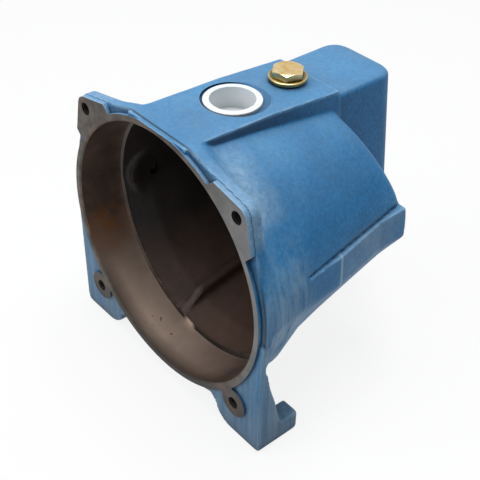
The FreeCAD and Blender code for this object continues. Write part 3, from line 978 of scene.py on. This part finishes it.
def streaks(tree, scale):
    # noise drawn out along Z, like runs in the paint
    coordinates = tree.nodes.new("ShaderNodeTexCoord")
    stretch = tree.nodes.new("ShaderNodeMapping")
    stretch.inputs["Scale"].default_value = (1.0, 1.0, 0.07)
    tree.links.new(coordinates.outputs["Object"], stretch.inputs["Vector"])
    texture = tree.nodes.new("ShaderNodeTexNoise")
    texture.inputs["Scale"].default_value = scale
    texture.inputs["Detail"].default_value = 3.0
    tree.links.new(stretch.outputs["Vector"], texture.inputs["Vector"])
    return texture.outputs["Fac"]


def sharp_edge(tree):
    # white on outer edges
    geometry = tree.nodes.new("ShaderNodeNewGeometry")
    return remapped(tree, geometry.outputs["Pointiness"], 0.515, 0.58)


# Layers of the paint, several of them painted light or shade: each gives a colour and how much of it shows

def sheen_on_top(tree, patchy):
    # painted sheen: faces turned up are paler, as where the top light glances off the paint
    upward = remapped(tree, facing(tree, "Z"), 0.45, 0.95)
    return linear("7899B2"), product(tree, upward, remapped(tree, patchy, -0.8, 1.0), 0.5)


def chalk_and_highlight_behind_flange(tree, patchy):
    # pale chalk behind the flange, partly a painted highlight where the shoulder turns up towards the light
    place = product(tree, band(tree, "Y", 0.0, 20.0, 18.0), band(tree, "Z", 56.0, 72.0, 9.0))
    powder = remapped(tree, noise(tree, 240.0, 4.0, 0.75), 0.2, 0.6)
    return linear("A4C2D8"), product(tree, place, remapped(tree, patchy, -0.6, 0.7), powder, 0.7)


def runs_on_flank(tree):
    place = product(tree, band(tree, "Y", 4.0, 30.0, 14.0), band(tree, "Z", -75.0, 8.0, 40.0))
    return linear("94B8D0"), product(tree, place, remapped(tree, streaks(tree, 240.0), 0.34, 0.66), 0.7)


def dust_below(tree, patchy):
    # thicker further down, and none on the undersides
    low = fade(tree, "Z", 0.0, -90.0)
    open_face = remapped(tree, facing(tree, "Z"), -0.97, -0.65)
    return linear("66747E"), product(tree, low, open_face, remapped(tree, patchy, -1.2, 1.0), 0.7)


def bloom_and_bounce_on_belly(tree, patchy):
    # pale bloom on the flat flank of the right side, partly a painted pool of light bounced up from the floor
    place = product(
        tree,
        band(tree, "Z", belly_bottom_z, belly_top_z - 3, 8.0),
        band(tree, "Y", belly_ys[1] + 8, belly_ys[3] - 10, 14.0),
        fade(tree, "X", 0.0, 20.0),
    )
    return linear("93B4CE"), product(tree, place, patchy, 0.6)


def facet_highlight(tree):
    # painted highlight: a pale line along the edge where the flank of the belly turns
    place = product(
        tree,
        band(tree, "Z", belly_bottom_z, belly_top_z - 1, 1.0),
        band(tree, "Y", belly_ys[1] - 0.7, belly_ys[1] + 0.7, 0.5),
        band(tree, "X", belly_edge_x, 2 * belly_edge_x, 2.0),
    )
    return linear("A9CBE0"), product(tree, place, 0.7)


def painted_ridge_shadow(tree):
    # painted shadow of the ridge down its steep side and onto the shoulder, thinner towards the block
    place = product(
        tree,
        remapped(tree, facing(tree, "Z"), 0.6, 0.3),
        near(tree, (0, 0, 0), ridge_half_width + 2.6, ridge_half_width + 1.6, (1, 0, 0)),
        band(tree, "Z", 58.0, ridge_top_z - 1.2, 0.8),
        fade(tree, "Y", 12.0, 15.0),
        fade(tree, "Y", 120.0, 50.0),
    )
    return linear("103352"), product(tree, place, 0.75)


def shade_behind_rim(tree):
    # painted shade on the recessed face between the bare rim and the painted flange
    place = product(
        tree,
        band(tree, "Y", rim_height - 0.3, rim_height + 0.2, 0.8),
        near(tree, (0, 0, 0), flange_radius + 2, flange_radius, (1, 0, 1)),
    )
    return linear("1C2C38"), product(tree, place, 0.85)


def shade_in_outlet_recess(tree):
    # painted shade: darker paint on the floor of the recess round the outlet, where its wall shades it
    place = product(
        tree,
        fade(tree, "Z", spot_face_z + 0.6, spot_face_z + 0.1),
        fade(tree, "Z", 78.0, 78.5),
        near(tree, (0, port_y, 0), 22.5, 21.5, (1, 1, 0)),
    )
    return linear("1B4A70"), product(tree, place, 0.5)


def worn_and_lit_edges(tree, patchy):
    # worn paint and painted highlights: outer edges paler, as where they catch the light
    return linear("A3C3D9"), product(tree, sharp_edge(tree), remapped(tree, patchy, -0.4, 0.7), 0.6)


def paint_material():
    # blue paint over cast iron: painted sheen on top, chalky and with a painted highlight behind the flange,
    # dusty low down,
    #     # worn pale with painted highlights along the edges, and painted shade in corners
    material, tree, shader = new_material("cast_paint", 0.0, 0.5, linear("2877AE"))
    shader.inputs["Specular IOR Level"].default_value = 0.3
    colour = ramp(tree, noise(tree, 24.0, 4.0),
                  [(0.32, linear("1E6A9F")), (0.5, linear("2877AE")), (0.7, linear("3785BA"))])
    speckle = ramp(tree, noise(tree, 420.0, 2.0, 0.7),
                   [(0.3, (0.78, 0.79, 0.8)), (0.7, (1.2, 1.19, 1.18))])
    colour = mixed(tree, colour, speckle, 1.0, "MULTIPLY")
    patchy = remapped(tree, noise(tree, 55.0, 5.0, 0.65), 0.25, 0.8)
    colour = mixed(tree, colour, *sheen_on_top(tree, patchy))
    colour = mixed(tree, colour, *chalk_and_highlight_behind_flange(tree, patchy))
    colour = mixed(tree, colour, *runs_on_flank(tree))
    colour = mixed(tree, colour, *dust_below(tree, patchy))
    colour = mixed(tree, colour, *bloom_and_bounce_on_belly(tree, patchy))
    colour = mixed(tree, colour, *facet_highlight(tree))
    colour = mixed(tree, colour, *painted_ridge_shadow(tree))
    colour = mixed(tree, colour, *shade_behind_rim(tree))
    colour = mixed(tree, colour, *shade_in_outlet_recess(tree))
    colour = mixed(tree, colour, *worn_and_lit_edges(tree, patchy))
    # painted shade in corners, creases and grooves
    corner_shade = ramp(tree, crevice_shade(tree, 0.009), [(0.35, (0.1, 0.17, 0.22)), (0.92, (1.0, 1.0, 1.0))])
    colour = mixed(tree, colour, corner_shade, 1.0, "MULTIPLY")
    tree.links.new(colour, shader.inputs["Base Color"])
    bump(tree, shader, noise(tree, 650.0, 3.0, 0.6), 0.6, 0.0004)
    return material


def bare_material():
    # machined cast iron, gone brown and dull, darker below and paler to the right
    material, tree, shader = new_material("bare_iron", 0.35, 0.5, linear("6E675F"))
    colour = ramp(tree, noise(tree, 90.0, 5.0, 0.65),
                  [(0.3, linear("352E28")), (0.5, linear("534B43")), (0.7, linear("736C65"))])
    rusty = product(tree, remapped(tree, noise(tree, 60.0, 4.0, 0.6), 0.52, 0.7), 0.7)
    colour = mixed(tree, colour, linear("8A6656"), rusty)
    right = product(tree, fade(tree, "X", 20.0, 75.0), fade(tree, "Z", -60.0, 0.0), 0.4)
    colour = mixed(tree, colour, linear("A4ACB2"), right)
    below = product(tree, fade(tree, "Z", -50.0, -80.0), 0.9)
    colour = mixed(tree, colour, linear("17110D"), below)
    # painted highlight on the machined step, dimmer further down
    step = product(tree, fade(tree, "Y", 20.0, 26.0), fade(tree, "Z", -70.0, 30.0), 0.65)
    colour = mixed(tree, colour, linear("B5AFA8"), step)
    # painted highlight: a small glint on the step edge
    glint = product(tree, near(tree, glint_place, 6.0, 2.0), 0.9)
    colour = mixed(tree, colour, linear("F0DCCB"), glint)
    tree.links.new(colour, shader.inputs["Base Color"])
    bump(tree, shader, noise(tree, 1500.0, 2.0), 0.2, 0.0002)
    return material


def register_material():
    # machined bore with a light film of rust and dark pits, paler low down, partly a painted pool of light
    # from the mouth, dark by the mouth
    material, tree, shader = new_material("register_iron", 0.1, 0.4, linear("6F5D50"))
    colour = ramp(tree, noise(tree, 38.0, 5.0, 0.65), [
        (0.28, linear("483C38")),
        (0.5, linear("665449")),
        (0.66, linear("7C665A")),
        (0.8, linear("96653F")),
    ])
    cloudy = remapped(tree, noise(tree, 30.0, 4.0, 0.6), 0.2, 0.75)
    # paler low down: partly a pale film, partly painted light that falls through the mouth onto the lower
    # bore
    low = product(tree, fade(tree, "Z", -20.0, -70.0), fade(tree, "X", 50.0, -10.0),
                  remapped(tree, cloudy, -0.8, 1.0), 0.95)
    colour = mixed(tree, colour, linear("DCC2B0"), low)
    by_mouth = product(tree, fade(tree, "Y", 11.0, 1.0), fade(tree, "Z", -30.0, -60.0), 0.8)
    colour = mixed(tree, colour, linear("33281F"), by_mouth)
    rust = product(tree, near(tree, rust_place, 20.0, 4.0),
                   remapped(tree, noise(tree, 120.0, 4.0, 0.7), 0.35, 0.6), 0.85)
    colour = mixed(tree, colour, linear("A36A3A"), rust)
    pits = product(tree, near(tree, pit_place, 13.0, 11.0),
                   remapped(tree, noise(tree, 300.0, 1.0, 0.5), 0.66, 0.71), 0.85)
    colour = mixed(tree, colour, linear("2A201B"), pits)
    tree.links.new(colour, shader.inputs["Base Color"])
    bump(tree, shader, noise(tree, 900.0, 2.0), 0.2, 0.0002)
    return material


def inner_material():
    # raw casting inside the chamber, nearly black, partly painted shade of the deep chamber, browner on its
    # floor
    material, tree, shader = new_material("inner_iron", 0.05, 0.6, linear("2A2320"))
    colour = ramp(tree, noise(tree, 45.0, 5.0, 0.6),
                  [(0.25, linear("14100E")), (0.5, linear("1E1815")), (0.75, linear("2E2521"))])
    patchy = remapped(tree, noise(tree, 34.0, 4.0, 0.6), 0.25, 0.75)
    low = product(tree, fade(tree, "Z", -30.0, -70.0), remapped(tree, patchy, -0.5, 1.0), 0.8)
    colour = mixed(tree, colour, linear("6E5347"), low)
    # painted shade in the corners of the chamber
    corner_shade = ramp(tree, crevice_shade(tree, 0.012), [(0.4, (0.25, 0.25, 0.25)), (0.9, (1.0, 1.0, 1.0))])
    colour = mixed(tree, colour, corner_shade, 1.0, "MULTIPLY")
    tree.links.new(colour, shader.inputs["Base Color"])
    bump(tree, shader, noise(tree, 700.0, 3.0), 0.35, 0.0005)
    return material


def plastic_material():
    material, tree, shader = new_material("white_plastic", 0.0, 0.4, linear("E9E9E6"))
    # painted shade in the hollows of the cap
    shade = ramp(tree, crevice_shade(tree, 0.015), [(0.1, linear("94928E")), (0.75, linear("E4EAEE"))])
    tree.links.new(shade, shader.inputs["Base Color"])
    bump(tree, shader, noise(tree, 300.0, 2.0), 0.1, 0.0002)
    return material


def brass_material():
    # turned brass, bright on top, with painted shade where the hexagon meets its flange
    material, tree, shader = new_material("brass", 1.0, 0.28, linear("E6C88C"))
    tone = ramp(tree, noise(tree, 160.0, 3.0, 0.6), [(0.3, linear("E0B466")), (0.7, linear("F8DFAA"))])
    nook_shade = ramp(tree, crevice_shade(tree, 0.009), [(0.55, (0.1, 0.14, 0.1)), (0.97, (1.0, 1.0, 1.0))])
    colour = mixed(tree, tone, nook_shade, 1.0, "MULTIPLY")
    tree.links.new(colour, shader.inputs["Base Color"])
    bump(tree, shader, noise(tree, 600.0, 2.0), 0.15, 0.0002)
    return material


def seal_material():
    # thin fibre washer, nearly black
    material, tree, shader = new_material("seal", 0.0, 0.6, linear("1C1C1C"))
    colour = ramp(tree, noise(tree, 500.0, 2.0), [(0.3, linear("151515")), (0.7, linear("262524"))])
    tree.links.new(colour, shader.inputs["Base Color"])
    return material


def coloured_casing(body, materials):
    # paint outside, bare metal on the machined front, browned bore, raw iron inside
    painted, bare, browned, raw = range(4)
    mesh = body.data
    mesh.materials.clear()
    for material in materials:
        mesh.materials.append(material)
    count = len(mesh.polygons)
    centres = np.empty(count * 3)
    normals = np.empty(count * 3)
    mesh.polygons.foreach_get("center", centres)
    mesh.polygons.foreach_get("normal", normals)
    x, y, z = centres.reshape(-1, 3).T / MM
    normal_y = normals.reshape(-1, 3)[:, 1]
    radius = np.hypot(x, z)
    hair, close = 0.05, 0.1
    runout_y = suction_face_y - port_thread_length - 2
    in_mouth = (radius < mouth_radius + hair) & (y < register_depth + close)
    in_cavity = (cavity_field(x, y, z) < 0.6) & (y > register_depth + close)
    in_inlet = np.hypot(x, z - suction_z) < port_major_radius + port_lead + 0.2
    in_inlet &= (y > crease_y - 10) & (y < suction_face_y + 0.5)
    in_outlet = np.hypot(x, y - port_y) < port_minor_radius + 0.2
    in_outlet &= (z > spot_face_z - 30) & (z < spot_face_z - 0.2)
    from_bolt = np.hypot(np.abs(x) - bolt_offset, np.abs(z) - bolt_offset)
    near_bolt = from_bolt < bolt_bore_radius + bolt_thread_depth + close
    in_bolt_hole = near_bolt & (y > hair) & (y < bolt_bore_depth + 2)
    in_blind = np.hypot(y - side_pad_y, z) < side_pad_bore_radius + close
    in_blind &= np.abs(x - side_pad_x()) < side_pad_bore_depth + 2
    in_lead = (radius < mouth_radius + mouth_lead_in + hair) & (y < mouth_lead_in + hair)
    choice = np.full(count, painted, dtype=np.int32)
    choice[in_mouth] = browned
    choice[in_cavity | in_outlet | in_blind] = raw
    choice[in_inlet & (y > runout_y)] = bare
    choice[in_inlet & (y < runout_y)] = raw
    choice[(normal_y < -0.99) & (y < hair)] = bare
    choice[in_lead] = bare
    choice[in_mouth & (normal_y < -0.9)] = bare
    choice[in_bolt_hole] = raw
    mesh.polygons.foreach_set("material_index", choice)
    mesh.polygons.foreach_set("use_smooth", np.ones(count, dtype=bool))
    mesh.set_sharp_from_angle(angle=math.radians(32))
    mesh.update()


# Stage, light and camera

def floor_material():
    # white to the camera and to reflections, with the soft shadow of the casing kept
    material, tree, shader = new_material("pale_floor", 0.0, 0.9, (0.9, 0.9, 0.9))
    glow = tree.nodes.new("ShaderNodeEmission")
    glow.inputs["Color"].default_value = (1.0, 1.0, 1.0, 1.0)
    path = tree.nodes.new("ShaderNodeLightPath")
    seen = path.outputs["Is Camera Ray"]
    tone = mixed(tree, (floor_lit,) * 3, (floor_seen,) * 3, seen)
    tree.links.new(tone, shader.inputs["Base Color"])
    for name in ("Is Glossy Ray", "Is Transmission Ray"):
        larger = tree.nodes.new("ShaderNodeMath")
        larger.operation = "MAXIMUM"
        tree.links.new(seen, larger.inputs[0])
        tree.links.new(path.outputs[name], larger.inputs[1])
        seen = larger.outputs[0]
    mix = tree.nodes.new("ShaderNodeMixShader")
    tree.links.new(product(tree, seen, floor_whiteness), mix.inputs["Fac"])
    tree.links.new(shader.outputs["BSDF"], mix.inputs[1])
    tree.links.new(glow.outputs["Emission"], mix.inputs[2])
    tree.links.new(mix.outputs["Shader"], tree.nodes["Material Output"].inputs["Surface"])
    return material


def studio_world():
    # soft daylight, strongest from above and behind the left side
    world = bpy.data.worlds.new("studio")
    bpy.context.scene.world = world
    world.use_nodes = True
    tree = world.node_tree
    background = tree.nodes["Background"]
    background.inputs["Color"].default_value = (0.93, 0.97, 1.0, 1.0)
    coordinates = tree.nodes.new("ShaderNodeTexCoord")
    towards = tree.nodes.new("ShaderNodeVectorMath")
    towards.operation = "DOT_PRODUCT"
    towards.inputs[1].default_value = sky_direction
    tree.links.new(coordinates.outputs["Generated"], towards.inputs[0])
    strength = tree.nodes.new("ShaderNodeMapRange")
    strength.inputs["From Min"].default_value = -0.5
    strength.inputs["From Max"].default_value = 0.9
    strength.inputs["To Min"].default_value = sky_dark
    strength.inputs["To Max"].default_value = sky_bright
    tree.links.new(towards.outputs["Value"], strength.inputs["Value"])
    path = tree.nodes.new("ShaderNodeLightPath")
    shown = strength.outputs["Result"]
    for ray, level in (
        ("Is Glossy Ray", mirrored_sky),
        ("Is Transmission Ray", mirrored_sky),
        ("Is Camera Ray", 1.0),
    ):
        larger = tree.nodes.new("ShaderNodeMath")
        larger.operation = "MAXIMUM"
        tree.links.new(shown, larger.inputs[0])
        tree.links.new(product(tree, path.outputs[ray], level), larger.inputs[1])
        shown = larger.outputs[0]
    tree.links.new(shown, background.inputs["Strength"])


def stage_and_light():
    floor_z = foot_bottom_z - floor_gap
    mesh = bpy.data.meshes.new("floor")
    size = floor_half_size
    corners = [(-size, -size), (size, -size), (size, size), (-size, size)]
    mesh.from_pydata([(x, y, floor_z * MM) for x, y in corners], [], [(0, 1, 2, 3)])
    floor = bpy.data.objects.new("floor", mesh)
    bpy.context.scene.collection.objects.link(floor)
    mesh.materials.append(floor_material())
    studio_world()
    area_light("key", *key_lamp)
    area_light("front", *front_lamp)


def area_light(name, place, size, power):
    light = bpy.data.lights.new(name, "AREA")
    light.size = size
    light.energy = power
    lamp = bpy.data.objects.new(name, light)
    lamp.location = place
    away = Vector(place) - Vector(lamp_target)
    lamp.rotation_euler = away.to_track_quat("Z", "Y").to_euler()
    bpy.context.scene.collection.objects.link(lamp)


def photo_camera():
    back = Vector(camera_back).normalized()
    right = Vector(camera_right)
    right = (right - back * right.dot(back)).normalized()
    up = back.cross(right)
    place = Vector(camera_place)
    camera = bpy.data.cameras.new("camera")
    camera.sensor_width = 36.0
    camera.lens = camera_lens
    camera.clip_start = 0.01
    camera.clip_end = 50.0
    obj = bpy.data.objects.new("camera", camera)
    obj.matrix_world = Matrix((
        (right.x, up.x, back.x, place.x),
        (right.y, up.y, back.y, place.y),
        (right.z, up.z, back.z, place.z),
        (0, 0, 0, 1),
    ))
    bpy.context.scene.collection.objects.link(obj)
    bpy.context.scene.camera = obj


body = casing()
casing_materials = (paint_material(), bare_material(), register_material(), inner_material())
coloured_casing(body, casing_materials)
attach(body, "root")
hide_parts("casing")

for piece in all_threads(casing_materials[3], casing_materials[1]):
    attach(piece, "root")

node_materials = {
    "discharge_cap": plastic_material(),
    "filler_plug": brass_material(),
    "filler_washer": seal_material(),
}
node_materials["drain_plug"] = node_materials["filler_plug"]
node_materials["drain_washer"] = node_materials["filler_washer"]
for node, material in node_materials.items():
    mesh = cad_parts[node].data
    mesh.materials.clear()
    mesh.materials.append(material)

stage_and_light()
photo_camera()
bpy.context.scene.view_settings.view_transform = "Standard"
